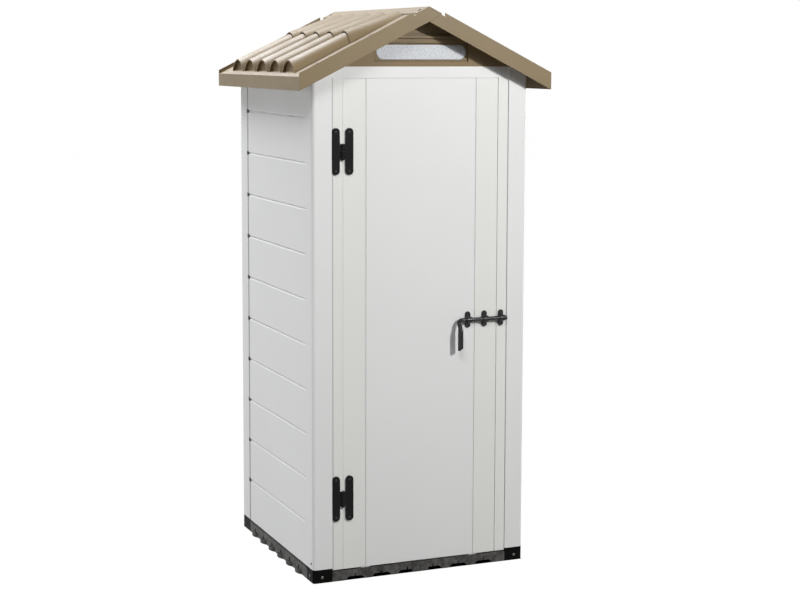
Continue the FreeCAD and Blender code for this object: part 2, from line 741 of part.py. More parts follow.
def arch_tool(centre, low, high):
    """Arch cut through a skirt that faces front: sloping flanks, flat crown and a slot above it."""
    half = ARCH_WIDTH / 2
    crown = half * ARCH_CROWN_SHARE
    ground = -SKIRT_THICKNESS
    outline = [
        (centre - half, ground),
        (centre + half, ground),
        (centre + half, 0),
        (centre + crown, ARCH_HEIGHT),
        (centre - crown, ARCH_HEIGHT),
        (centre - half, 0),
    ]
    arch = front_prism(outline, -2 * SKIRT_THICKNESS, 2 * SKIRT_THICKNESS)
    half_slot = ARCH_SLOT_WIDTH / 2
    reach = 2 * SKIRT_THICKNESS
    slot = box(centre - half_slot, centre + half_slot, -reach, reach, ARCH_HEIGHT / 2, ARCH_SLOT_TOP)
    bounds = box(low, high, -reach, reach, ground, DECK_HEIGHT)
    return arch.fuse(slot).common(bounds)


def lug():
    """Rounded lug at the foot of a skirt that faces left, with flanks that slope as an arch's do."""
    start = Vector(0, -LUG_WIDTH / 2, 0)
    tip = Vector(-LUG_REACH, 0, 0)
    end = Vector(0, LUG_WIDTH / 2, 0)
    root = X_AXIS * (SKIRT_THICKNESS / 2)
    edges = [
        Part.Arc(start, tip, end).toShape(),
        Part.makeLine(end, end + root),
        Part.makeLine(end + root, start + root),
        Part.makeLine(start + root, start),
    ]
    plan = Part.Face(Part.Wire(edges)).extrude(Z_AXIS * LUG_HEIGHT)
    flank = ARCH_WIDTH / 2 * (1 - ARCH_CROWN_SHARE) / ARCH_HEIGHT
    half = LUG_WIDTH / 2
    top_half = half - flank * LUG_HEIGHT
    front = [(-half, 0), (half, 0), (top_half, LUG_HEIGHT), (-top_half, LUG_HEIGHT)]
    return plan.common(side_prism(front, -LUG_REACH, SKIRT_THICKNESS))


def lug_hole():
    """Round hole through a skirt that faces left, above a lug."""
    start = Vector(-SKIRT_THICKNESS, 0, LUG_HOLE_HEIGHT)
    return rod(LUG_HOLE_RADIUS, start, start + X_AXIS * 3 * SKIRT_THICKNESS)


def foot_block(side, end, spare):
    """Outer block of a corner foot, or the notch for it when spare is given."""
    depth = FRONT_FOOT_SIDE_WIDTH if end < 0 else REAR_FOOT_SIDE_WIDTH
    block = box(-SIDE, -SIDE + FOOT_FRONT_WIDTH + spare, FRONT, FRONT + depth + spare, 0, WALL_BOTTOM)
    block = mirror_y(block) if end > 0 else block
    return mirror_x(block) if side > 0 else block


def tile_cells(low, high):
    """Spans between the ribs under a tile, along one direction."""
    walls = [number * LUG_PITCH for number in range(-LUGS_PER_EDGE, LUGS_PER_EDGE + 1)]
    inner = [place for place in walls if low + LUG_PITCH / 4 < place < high - LUG_PITCH / 4]
    starts = [low + SKIRT_THICKNESS] + [place + RIB_THICKNESS / 2 for place in inner]
    ends = [place - RIB_THICKNESS / 2 for place in inner] + [high - SKIRT_THICKNESS]
    return list(zip(starts, ends))


def turned(shape, angle, place):
    """Shape turned about the vertical and moved into place."""
    copy = shape.copy()
    copy.rotate(Vector(0, 0, 0), Z_AXIS, angle)
    copy.translate(place)
    return copy


def floor_tile(side):
    """Half of the floor: deck on ribs, rims under the walls, lugs and arches along its edges."""
    x0, x1 = sorted((side * SIDE, side * SEAT_CLEARANCE / 2))
    tile = box(x0, x1, FRONT, REAR, 0, DECK_HEIGHT)
    under = DECK_HEIGHT - DECK_THICKNESS
    pockets = []
    for cell_x0, cell_x1 in tile_cells(x0, x1):
        for cell_y0, cell_y1 in tile_cells(FRONT, REAR):
            pockets.append(box(cell_x0, cell_x1, cell_y0, cell_y1, 0, under))
    tile = tile.cut(pockets)
    rim_x0, rim_x1 = sorted((side * SIDE, side * WALL_INNER_X))
    seat_x0, seat_x1 = sorted((side * STRIP_EDGE_X, side * JAMB_EDGE_X))
    corner = box(x0, x1, FRONT, REAR, 0, DECK_HEIGHT)
    added = [
        box(rim_x0, rim_x1, FRONT, REAR, 0, WALL_BOTTOM),
        box(x0, x1, REAR - WALL_THICKNESS, REAR, under, WALL_BOTTOM),
        box(seat_x0, seat_x1, FACE_Y, STOP_Y + STOP_LIP_THICKNESS, under, JAMB_BOTTOM),
    ]
    for end in (-1, 1):
        added.append(foot_block(side, end, SKIRT_THICKNESS).common(corner))
    tile = tile.fuse(added)
    cuts = [foot_block(side, end, SEAT_CLEARANCE) for end in (-1, 1)]
    cuts.append(box(rim_x0, rim_x1, FRONT, -STRIP_EDGE_X, DECK_HEIGHT, WALL_BOTTOM))
    lugs = []
    for place in edge_places():
        if side * place > 0:
            low, high = sorted((side * SEAM_LAND, side * SIDE))
            cuts.append(turned(arch_tool(place, low, high), 0, Vector(0, FRONT, 0)))
            lugs.append(turned(lug(), -90, Vector(place, REAR, 0)))
            cuts.append(turned(lug_hole(), -90, Vector(place, REAR, 0)))
        female_x = -SEAT_CLEARANCE / 2 if side < 0 else SIDE
        male_x = -SIDE if side < 0 else SEAT_CLEARANCE / 2
        cuts.append(turned(arch_tool(0, -ARCH_WIDTH, ARCH_WIDTH), 90, Vector(female_x, place, 0)))
        lugs.append(turned(lug(), 0, Vector(male_x, place, 0)))
        if side < 0:
            cuts.append(turned(lug_hole(), 0, Vector(male_x, place, 0)))
    return tile.fuse(lugs).cut(cuts).removeSplitter()


def foot_tenon(end, spare):
    """Upstand of a left foot inside the wall, or the slot for it when spare is given."""
    half = FOOT_TENON_THICKNESS / 2 + spare
    near = TENON_SETBACK - spare
    far = TENON_SETBACK + FOOT_TENON_WIDTH + spare
    middle = WALL_THICKNESS / 2
    top = WALL_BOTTOM + FOOT_TENON_HEIGHT + spare
    if end < 0:
        return box(-SIDE + middle - half, -SIDE + middle + half, FRONT + near, FRONT + far, WALL_BOTTOM, top)
    return box(-SIDE + near, -SIDE + far, REAR - middle - half, REAR - middle + half, WALL_BOTTOM, top)


def tenon_screw(end, maker):
    """Screw, or its hole, that pins a wall to the upstand of a left foot."""
    middle = TENON_SETBACK + FOOT_TENON_WIDTH / 2
    height = WALL_BOTTOM + TENON_SCREW_RISE
    length = WALL_THICKNESS / 2 + FOOT_TENON_THICKNESS / 2 + SCREW_HEAD_DEPTH
    if end < 0:
        head = Vector(-SIDE - SCREW_HEAD_DEPTH, FRONT + middle, height)
        return maker(X_AXIS, head, PANEL_SCREW_RADIUS, PANEL_SCREW_HEAD, length, False)
    head = Vector(-SIDE + middle, REAR + SCREW_HEAD_DEPTH, height)
    return maker(Y_AXIS * -1, head, PANEL_SCREW_RADIUS, PANEL_SCREW_HEAD, length, False)


def foot_screw(end, maker):
    """Screws, or their holes, in the outer faces of a left foot."""
    length = FOOT_WALL + 2 * SCREW_HEAD_DEPTH
    sizes = (FOOT_SCREW_RADIUS, FOOT_SCREW_HEAD, length, False)
    x = -SIDE + FOOT_SCREW_INSET
    if end > 0:
        return [maker(Y_AXIS * -1, Vector(x, REAR + SCREW_HEAD_DEPTH, FOOT_SCREW_HEIGHT), *sizes)]
    front = maker(Y_AXIS, Vector(x, FRONT - SCREW_HEAD_DEPTH, FOOT_SCREW_HEIGHT), *sizes)
    side_y = FRONT + FOOT_SIDE_SCREW_INSET
    side = maker(X_AXIS, Vector(-SIDE - SCREW_HEAD_DEPTH, side_y, FOOT_SCREW_HEIGHT), *sizes)
    return [front, side]


def corner_foot(side, end):
    """Hollow corner block with an upstand for the wall."""
    foot = foot_block(-1, end, 0)
    outer_y = FRONT if end < 0 else REAR
    foot = foot.makeFillet(WALL_CORNER_RADIUS, vertical_edges_at(foot, -SIDE, outer_y))
    depth = FRONT_FOOT_SIDE_WIDTH if end < 0 else REAR_FOOT_SIDE_WIDTH
    x0 = -SIDE + FOOT_WALL
    x1 = -SIDE + FOOT_FRONT_WIDTH - FOOT_WALL
    y0 = FRONT + FOOT_WALL if end < 0 else REAR - depth + FOOT_WALL
    hollow = box(x0, x1, y0, y0 + depth - 2 * FOOT_WALL, 0, WALL_BOTTOM - FOOT_WALL)
    cuts = [hollow, tenon_screw(end, screw_hole)] + foot_screw(end, screw_hole)
    foot = foot.fuse(foot_tenon(end, 0)).cut(cuts)
    return mirror_x(foot) if side > 0 else foot


def both_sides(shapes):
    """Shapes and their mirror images."""
    return [copy for shape in shapes for copy in (shape, mirror_x(shape))]


def knuckle(height0, height1):
    """Barrel of a hinge between two heights."""
    return rod(HINGE_KNUCKLE_RADIUS, Vector(HINGE_X, HINGE_Y, height0), Vector(HINGE_X, HINGE_Y, height1))


def hinge_leaf(side, centre):
    """Leg and bar of one hinge leaf: side -1 is on the frame, 1 on the door."""
    leg_x = -HINGE_LEG_X if side < 0 else -DOOR_LEG_X
    front_y = FACE_Y - HINGE_LEAF_THICKNESS
    leg = slot_plate(leg_x, centre, HINGE_LEG_WIDTH, HINGE_LEG_HEIGHT, front_y, FACE_Y)
    half_bar = HINGE_BAR_HEIGHT / 2
    bar_x0, bar_x1 = sorted((leg_x, HINGE_X + side * (HINGE_KNUCKLE_RADIUS + MOVING_CLEARANCE)))
    bar = box(bar_x0, bar_x1, front_y, FACE_Y, centre - half_bar, centre + half_bar)
    gap = MOVING_CLEARANCE / 2
    if side < 0:
        low, high = centre - half_bar - HINGE_LOWER_EXTRA, centre - gap
    else:
        low, high = centre + gap, centre + half_bar + HINGE_UPPER_EXTRA
    link_low = max(low, centre - half_bar)
    link_high = min(high, centre + half_bar)
    link_x0, link_x1 = sorted((HINGE_X, leg_x))
    link = box(link_x0, link_x1, front_y, FACE_Y - MOVING_CLEARANCE, link_low, link_high)
    return fuse_all([leg, bar, link, knuckle(low, high)])


def hinge_pin_span(centre, spare):
    """Pin of one hinge, or the bore for it when spare is given."""
    low = centre - HINGE_BAR_HEIGHT / 2 - HINGE_LOWER_EXTRA
    high = centre + HINGE_BAR_HEIGHT / 2 + HINGE_UPPER_EXTRA - HINGE_CAP
    top = high if spare > 0 else high - SEAT_CLEARANCE
    return rod(HINGE_PIN_RADIUS + spare, Vector(HINGE_X, HINGE_Y, low), Vector(HINGE_X, HINGE_Y, top))


def hinge_frame_leaf(centre):
    """Leaf with the lower knuckle, screwed to the jamb."""
    holes = panel_screws(hinge_spots(HINGE_LEG_X), HINGE_LEAF_THICKNESS, screw_hole)
    return hinge_leaf(-1, centre).cut([hinge_pin_span(centre, PIN_CLEARANCE)] + holes)


def hinge_door_leaf(centre):
    """Leaf with the capped upper knuckle, screwed to the door."""
    holes = panel_screws(hinge_spots(DOOR_LEG_X), HINGE_LEAF_THICKNESS, screw_hole)
    return hinge_leaf(1, centre).cut([hinge_pin_span(centre, PIN_CLEARANCE)] + holes)


def door_panel(x0, x1, edges_at):
    """One upright board of the door, with small bevels where it meets the next board."""
    panel = box(x0, x1, FACE_Y, DOOR_BACK_Y, DOOR_BOTTOM, DOOR_TOP)
    edges = []
    for x in edges_at:
        edges += vertical_edges_at(panel, x, FACE_Y)
    panel = panel.makeChamfer(DOOR_JOINT_CHAMFER, edges)
    holes = panel_screws(hinge_spots(DOOR_LEG_X), HINGE_LEAF_THICKNESS, screw_hole)
    holes += panel_screws(staple_spots([1, 2]), STAPLE_PLATE, screw_hole)
    return panel.cut(holes)


def door_panels():
    """The door's three boards by name."""
    gap = SEAT_CLEARANCE / 2
    joint = DOOR_JOINT_X
    return {
        "left": door_panel(-DOOR_EDGE_X, -joint - gap, [-joint - gap]),
        "centre": door_panel(-joint + gap, joint - gap, [-joint + gap, joint - gap]),
        "right": door_panel(joint + gap, DOOR_EDGE_X, [joint + gap]),
    }


def joint_strip(side):
    """Strip behind a joint of the door, with the plug that closes the joint's lower end."""
    half = STRIP_WIDTH / 2
    x0 = side * DOOR_JOINT_X - half
    x1 = side * DOOR_JOINT_X + half
    back = DOOR_BACK_Y + STRIP_THICKNESS
    strip = box(x0, x1, DOOR_BACK_Y, back, DOOR_BOTTOM, DOOR_TOP - STRIP_TOP_MARGIN)
    plug = box(x0, x1, FACE_Y + DOOR_JOINT_CHAMFER, back, DOOR_BOTTOM - STRIP_PLUG_DROP, DOOR_BOTTOM)
    return strip.fuse(plug).removeSplitter()


def staple(number):
    """Bolt guide: a plate with round ends and a saddle that the rod slides through."""
    x = staple_x(number)
    half = STAPLE_WIDTH / 2
    bore = BOLT_RADIUS + SEAT_CLEARANCE
    outer = bore + STAPLE_WALL
    plate = slot_plate(x, BOLT_HEIGHT, STAPLE_WIDTH, STAPLE_HEIGHT, FACE_Y - STAPLE_PLATE, FACE_Y)
    saddle = rod(outer, Vector(x - half, BOLT_Y, BOLT_HEIGHT), Vector(x + half, BOLT_Y, BOLT_HEIGHT))
    neck_y = FACE_Y - STAPLE_PLATE / 2
    neck = box(x - half, x + half, BOLT_Y, neck_y, BOLT_HEIGHT - outer, BOLT_HEIGHT + outer)
    tunnel = rod(bore, Vector(x - half, BOLT_Y, BOLT_HEIGHT), Vector(x + half, BOLT_Y, BOLT_HEIGHT))
    holes = panel_screws(staple_spots([number]), STAPLE_PLATE, screw_hole)
    return fuse_all([plate, saddle, neck]).cut([tunnel] + holes)


def bent_path(points, radius):
    """Wire through the points, with each corner rounded."""
    edges = []
    start = points[0]
    for before, corner, after in zip(points, points[1:], points[2:]):
        into = (corner - before).normalize()
        out = (after - corner).normalize()
        half_turn = into.getAngle(out) / 2
        setback = radius * math.tan(half_turn)
        inward = (out - into).normalize()
        middle = corner + inward * (radius / math.cos(half_turn) - radius)
        first = corner - into * setback
        last = corner + out * setback
        edges.append(Part.makeLine(start, first))
        edges.append(Part.Arc(first, middle, last).toShape())
        start = last
    edges.append(Part.makeLine(start, points[-1]))
    return Part.Wire(edges)


def bolt():
    """Bolt rod with its cranked handle, thrown into the keeper."""
    end = Vector(BOLT_END_X, BOLT_Y, BOLT_HEIGHT)
    corner = Vector(HANDLE_X, BOLT_Y, BOLT_HEIGHT)
    elbow = Vector(HANDLE_X, BOLT_Y - HANDLE_REACH, BOLT_HEIGHT - HANDLE_CRANK_DROP)
    tip = Vector(HANDLE_X, BOLT_Y - HANDLE_REACH, HANDLE_BOTTOM)
    path = bent_path([end, corner, elbow, tip], HANDLE_BEND_RADIUS)
    section = Part.Wire([Part.makeCircle(BOLT_RADIUS, end, X_AXIS)])
    bar = path.makePipeShell([section], True, False)
    blade_y = tip.y + HANDLE_DEPTH - 2 * HANDLE_BLADE_RADIUS
    blade_top = Vector(HANDLE_X, blade_y, elbow.z)
    blade_tip = Vector(HANDLE_X, blade_y, HANDLE_BOTTOM - HANDLE_BLADE_DROP)
    blade = rod(HANDLE_BLADE_RADIUS, blade_top, blade_tip)
    half = HANDLE_BLADE_RADIUS
    web = box(HANDLE_X - half, HANDLE_X + half, tip.y, blade_y, HANDLE_BOTTOM, elbow.z)
    crown = Part.makeSphere(HANDLE_BLADE_RADIUS, blade_top)
    end_ball = Part.makeSphere(HANDLE_BLADE_RADIUS, blade_tip)
    ball = Part.makeSphere(HANDLE_BALL_RADIUS, tip)
    return fuse_all([bar, blade, web, crown, end_ball, ball])


def main():
    """Write every node."""
    save("floor_tile_left", floor_tile(-1))
    save("floor_tile_right", floor_tile(1))
    for end_name, end in (("front", -1), ("rear", 1)):
        for side_name, side in (("left", -1), ("right", 1)):
            save("corner_foot_" + end_name + "_" + side_name, corner_foot(side, end))
    save("foot_screws", Part.makeCompound(both_sides(foot_screw(-1, screw) + foot_screw(1, screw))))
    save("wall_screws", Part.makeCompound(both_sides([tenon_screw(-1, screw), tenon_screw(1, screw)])))
    wall = side_wall()
    save("wall_left", wall)
    save("wall_right", mirror_x(wall))
    save("wall_back", rear_wall())
    save("door_jamb_left", door_jamb(-1))
    save("door_jamb_right", door_jamb(1))
    save("door_header", door_header())
    save("gable_front", gable_front())
    save("gable_rear", gable_rear())
    save("gable_window", gable_window())
    save("roof_left", roof_left())
    save("roof_right", roof_right())
    save("roof_screws", Part.makeCompound(roof_screw_shapes(screw)))
    for name, centre in HINGE_CENTRES.items():
        save("hinge_frame_leaf_" + name, hinge_frame_leaf(centre))
        save("hinge_pin_" + name, hinge_pin_span(centre, 0))
        save("hinge_door_leaf_" + name, hinge_door_leaf(centre))
    leaf = HINGE_LEAF_THICKNESS
    save("hinge_frame_screws", Part.makeCompound(panel_screws(hinge_spots(HINGE_LEG_X), leaf, screw)))
    save("hinge_door_screws", Part.makeCompound(panel_screws(hinge_spots(DOOR_LEG_X), leaf, screw)))
    for name, panel in door_panels().items():
        save("door_panel_" + name, panel)
    save("door_strip_left", joint_strip(-1))
    save("door_strip_right", joint_strip(1))
    save("bolt_keeper", staple(0))
    save("bolt_keeper_screws", Part.makeCompound(panel_screws(staple_spots([0]), STAPLE_PLATE, screw)))
    save("bolt_staple_outer", staple(1))
    save("bolt_staple_inner", staple(2))
    save("bolt_staple_screws", Part.makeCompound(panel_screws(staple_spots([1, 2]), STAPLE_PLATE, screw)))
    save("bolt_rod", bolt())


if __name__ == "__main__":
    main()
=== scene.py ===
"""Looks of the garden storage cabinet: finishes, screws, floor, lamps and camera round the fixed frame."""
import json
import math

import bmesh
import bpy
from mathutils import Matrix, Vector


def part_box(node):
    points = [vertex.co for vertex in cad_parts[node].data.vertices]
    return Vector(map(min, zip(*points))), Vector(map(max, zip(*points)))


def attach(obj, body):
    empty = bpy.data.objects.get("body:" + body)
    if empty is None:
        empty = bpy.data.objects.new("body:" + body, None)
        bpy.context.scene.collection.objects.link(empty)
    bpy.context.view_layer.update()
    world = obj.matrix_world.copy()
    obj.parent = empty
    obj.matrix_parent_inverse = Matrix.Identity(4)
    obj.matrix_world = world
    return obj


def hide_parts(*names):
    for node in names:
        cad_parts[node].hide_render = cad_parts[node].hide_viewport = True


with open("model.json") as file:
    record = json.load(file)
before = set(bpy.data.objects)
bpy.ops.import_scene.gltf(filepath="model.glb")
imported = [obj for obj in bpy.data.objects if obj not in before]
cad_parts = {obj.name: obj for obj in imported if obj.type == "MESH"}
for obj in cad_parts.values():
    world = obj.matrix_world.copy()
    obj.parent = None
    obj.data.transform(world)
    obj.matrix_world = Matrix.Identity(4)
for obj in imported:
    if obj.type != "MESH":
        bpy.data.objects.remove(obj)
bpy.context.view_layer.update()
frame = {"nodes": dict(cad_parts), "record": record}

NODES = frame["nodes"]
RECORD = frame["record"]
MM = 0.001

# Camera: place in metres, sensor in millimetres, turns in degrees
FRAME_WIDTH = 800
SENSOR_WIDTH = 36.0
FOCAL_LENGTH_IN_PIXELS = 1713.112
LENS_SHIFT = -0.07
CAMERA_PLACE = Vector((-2.382, -5.908, 1.853))
CAMERA_YAW = 22.688
CAMERA_PITCH = 6.371
CAMERA_ROLL = 0.167

# Lamps, as place, target, size, power and colour, and the light of the surroundings
LAMPS = {
    "key": ((2.07, -4.72, 3.43), (0.1, -0.4, 1.3), 0.4, 176.0, (1.0, 1.0, 1.0)),
    "front_above": ((-1.8, -3.6, 4.6), (-0.1, -0.4, 1.2), 1.5, 64.0, (1.0, 1.0, 1.0)),
    "left_above": ((-2.4, -0.3, 4.8), (-0.2, 0.0, 1.2), 2.5, 12.0, (1.0, 1.0, 1.0)),
    "left_low": ((-3.2, -0.2, 0.35), (-0.4, 0.0, 0.6), 1.4, 28.0, (1.0, 1.0, 1.0)),
    "rear_above": ((-1.2, 2.4, 4.6), (0.0, 0.0, 1.8), 2.5, 222.0, (0.99, 1.0, 1.05)),
    "right": ((3.0, 0.6, 2.6), (0.4, 0.0, 0.9), 2.0, 38.0, (1.0, 1.0, 1.0)),
}
AMBIENT = 0.005

# Floor under the cabinet: its tone, its white for the camera, and the edge of the painted shadow under the
# feet
FLOOR_REACH = 40.0
FLOOR_TONE = 0.2
FLOOR_SPREAD = 0.01
FLOOR_PATCHES = 1.5
FLOOR_ROUGHNESS = 0.9
FLOOR_WHITENING = 0.94
FLOOR_GLOW = 1.06
PAINTED_SHADOW_EDGE = 2 * MM

# Wall grooves above the wall's foot, and the dark blocks at their rear ends, which stand in for the shade in
# the grooves' open ends
GROOVES = 10
GROOVE_PITCH = 158.4 * MM
SHADE_BLOCK_LENGTH = 22 * MM
SHADE_BLOCK_HEIGHT = 14 * MM
SHADE_BLOCK_DEPTH = 2 * MM
SHADE_BLOCK_PROUD = 0.5 * MM

# Joint between side wall and back wall, in front of the rear feet's front edge
REAR_JOINT_OFF = 1.2 * MM

# Roof slope, as rise over run
ROOF_SLOPE = 0.4945

# Lip in the gap between the door and its frame
SIDE_GAP = 2.5 * MM
TOP_GAP = 2.0 * MM
SEAL_CLEARANCE = 0.4 * MM
SEAL_DEPTH = 0.6 * MM
SEAL_THICKNESS = 2.0 * MM

# Closed ends a little inside the mouths of the eave barrels; their top is part of an ellipse
BARRELS = 5
BARREL_PITCH = 145 * MM
EAVE_HEIGHT = 47 * MM
EAVE_MARGIN = 21 * MM
END_DEPTH = 12 * MM
END_THICKNESS = 3 * MM
END_HALF_WIDTH = 67.2 * MM
END_HALF_HEIGHT = 75.0 * MM
END_MIDDLE_DROP = 35.1 * MM
END_STEPS = 24

# Screws: each node's body and the height of its domes, 0 for flat heads; turns and angles are in degrees
DOME_HEIGHT = 1.6 * MM
SCREWS = {
    "foot_screws": ("root", DOME_HEIGHT),
    "wall_screws": ("root", DOME_HEIGHT),
    "roof_screws": ("root", DOME_HEIGHT),
    "hinge_frame_screws": ("root", 0.0),
    "hinge_door_screws": ("door", 0.0),
    "bolt_keeper_screws": ("root", 0.0),
    "bolt_staple_screws": ("door", 0.0),
}
SCREW_SIDES = 32
DOME_STEPS = 5
SCREW_TURN = 37.0
SHARP_ANGLE = 40.0
HEAD_DEPTH = 2.2 * MM
HEAD_EDGE = 0.3 * MM
SOCKET_DEPTH = 1.6 * MM
SOCKET_TAPER = 0.7

# Shank and cross socket, as shares of the head's radius
SHANK_SHARE = 0.45
SOCKET_REACH = 0.55
SOCKET_HALF = 0.13

# How the plain screws are read from their mesh: welding, flatness, corners of a face, digits of a place
WELD = 1e-6
FLATNESS = 1e-5
FACE_CORNERS = 8
PLACE_DIGITS = 4

# Colours, as red, green and blue of 255
WALL_WHITE = (243, 243, 242)
FRAME_WHITE = (242, 242, 238)
ROOF_TAUPE = (131, 113, 81)
GABLE_TAUPE = (134, 114, 82)
END_TAUPE = (130, 111, 80)
FLOOR_GREY = (88, 87, 85)
FOOT_BLACK = (22, 22, 21)
HINGE_BLACK = (15, 15, 15)
BOLT_BLACK = (14, 14, 14)
WINDOW_WHITE = (216, 219, 223)
WINDOW_SPECK = (120, 124, 130)
ZINC_GREY = (104, 102, 98)
DARK_GREY = (60, 58, 56)
STEEL_GREY = (180, 180, 182)

# Part of a noise's range that is used, and features to the metre of the patterns on every moulded piece
NOISE_LOW = 0.3
NOISE_HIGH = 0.7
SPECKS = 420.0
GLOSS_PATCHES = 14.0
WAVES = 5.0

# Share of open air at which the painted crevice shade is darkest and ends, share of a joint line's painted
# shade that is darkest, samples
CREVICE_DARKEST = 0.35
CREVICE_END = 0.95
JOINT_CORE = 0.6
EDGE_SAMPLES = 6
CREVICE_SAMPLES = 8

# Painted shade along joint lines and gaps, as half width and tone, and how far the left jamb's painted shadow
# line lies inside its outer edge
REAR_LINE = (8.0 * MM, 0.35)
BOARD_LINE = (1.6 * MM, 0.75)
JAMB_LEFT_LINE = (3.0 * MM, 0.6)
JAMB_RIGHT_LINE = (2.5 * MM, 0.4)
TILE_LINE = (1.5 * MM, 0.3)
WALL_FOOT_LINE = (11.0 * MM, 0.05)
JAMB_LEFT_INSET = 4 * MM

# Metal: fine marks to the metre, their tones, their effect on the roughness, their depth, and rounded edges
MARKS = 900.0
MARK_TONES = (0.85, 1.1)
MARK_ROUGHNESS = 0.08
MARK_DEPTH = 0.01 * MM
METAL_EDGE = 0.3 * MM

# Pane: grey specks, hammered relief, plain rim and rounded edge
PANE_SPECKS = 190.0
PANE_SPECK_START = 0.52
PANE_SPECK_FULL = 0.66
PANE_SPECK_SHARE = 0.85
PANE_ROUGHNESS = (0.25, 0.5)
PANE_HAMMERING = 220.0
PANE_RELIEF = 0.6 * MM
PANE_RIM = 5 * MM
PANE_RIM_BLEND = 0.5 * MM
PANE_EDGE = 1 * MM


def linear(colour):
    """Linear colour with alpha from red, green and blue of 255, by the sRGB curve."""
    parts = []
    for value in colour:
        share = value / 255
        parts.append(share / 12.92 if share <= 0.04045 else ((share + 0.055) / 1.055) ** 2.4)
    return (*parts, 1.0)


def start_material(name):
    """New material, its shader and the object's coordinates, in metres."""
    material = bpy.data.materials.new(name)
    material.use_nodes = True
    tree = material.node_tree
    shader = tree.nodes["Principled BSDF"]
    place = tree.nodes.new("ShaderNodeTexCoord").outputs["Object"]
    return material, tree, shader, place


def noise(tree, place, scale, detail=2.0, roughness=0.5):
    """Soft noise between 0 and 1, with scale features to the metre."""
    node = tree.nodes.new("ShaderNodeTexNoise")
    node.inputs["Scale"].default_value = scale
    node.inputs["Detail"].default_value = detail
    node.inputs["Roughness"].default_value = roughness
    tree.links.new(place, node.inputs["Vector"])
    return node.outputs["Fac"]


def mapped(tree, value, low, high, to_low, to_high):
    """A value carried from one range to another, and held at its ends."""
    node = tree.nodes.new("ShaderNodeMapRange")
    node.inputs["From Min"].default_value = low
    node.inputs["From Max"].default_value = high
    node.inputs["To Min"].default_value = to_low
    node.inputs["To Max"].default_value = to_high
    tree.links.new(value, node.inputs["Value"])
    return node.outputs["Result"]


def varied(tree, pattern, low, high):
    """A noise carried to a range."""
    return mapped(tree, pattern, NOISE_LOW, NOISE_HIGH, low, high)


def scaled(tree, colour, factor):
    """A colour made lighter or darker by a factor."""
    node = tree.nodes.new("ShaderNodeVectorMath")
    node.operation = "SCALE"
    tree.links.new(colour, node.inputs[0])
    tree.links.new(factor, node.inputs["Scale"])
    return node.outputs["Vector"]


def mixed(tree, share, first, second):
    """Two colours mixed by a share; sockets 6 and 7 take the colours, and output 2 gives the mix."""
    node = tree.nodes.new("ShaderNodeMix")
    node.data_type = "RGBA"
    tree.links.new(share, node.inputs["Factor"])
    for socket, colour in ((node.inputs[6], first), (node.inputs[7], second)):
        if isinstance(colour, tuple):
            socket.default_value = colour
        else:
            tree.links.new(colour, socket)
    return node.outputs[2]


def plain_colour(tree, colour):
    """A colour as a node's output."""
    node = tree.nodes.new("ShaderNodeRGB")
    node.outputs[0].default_value = linear(colour)
    return node.outputs[0]


def bump(tree, height, distance, normal):
    """Surface relief of a height pattern, laid over a normal."""
    node = tree.nodes.new("ShaderNodeBump")
    node.inputs["Strength"].default_value = 1.0
    node.inputs["Distance"].default_value = distance
    tree.links.new(height, node.inputs["Height"])
    tree.links.new(normal, node.inputs["Normal"])
    return node.outputs["Normal"]


def soft_edges(tree, radius):
    """Normal that rounds the piece's sharp edges."""
    node = tree.nodes.new("ShaderNodeBevel")
    node.samples = EDGE_SAMPLES
    node.inputs["Radius"].default_value = radius
    return node.outputs["Normal"]


def calculated(tree, operation, first, second):
    """Result of an operation on two values, either of which may be a plain number."""
    node = tree.nodes.new("ShaderNodeMath")
    node.operation = operation
    for socket, value in zip(node.inputs, (first, second)):
        if isinstance(value, (int, float)):
            socket.default_value = value
        else:
            tree.links.new(value, socket)
    return node.outputs[0]


def axis_of(tree, place, axis):
    """One coordinate of a place."""
    node = tree.nodes.new("ShaderNodeSeparateXYZ")
    tree.links.new(place, node.inputs[0])
    return node.outputs[axis]


def painted_joint_shade(tree, place, joint):
    """Painted shade along a joint line: joint is (axis, position, half width, tone in its middle)."""
    axis, position, half_width, tone = joint
    off = calculated(tree, "SUBTRACT", axis_of(tree, place, axis), position)
    away = calculated(tree, "ABSOLUTE", off, 0.0)
    return mapped(tree, away, half_width * JOINT_CORE, half_width, tone, 1.0)


def painted_crevice_shade(tree, reach, tone):
    """Painted shade where the piece's own folds and grooves come close together, from ambient occlusion."""
    node = tree.nodes.new("ShaderNodeAmbientOcclusion")
    node.samples = CREVICE_SAMPLES
    node.only_local = True
    node.inputs["Distance"].default_value = reach
    return mapped(tree, node.outputs["AO"], CREVICE_DARKEST, CREVICE_END, tone, 1.0)


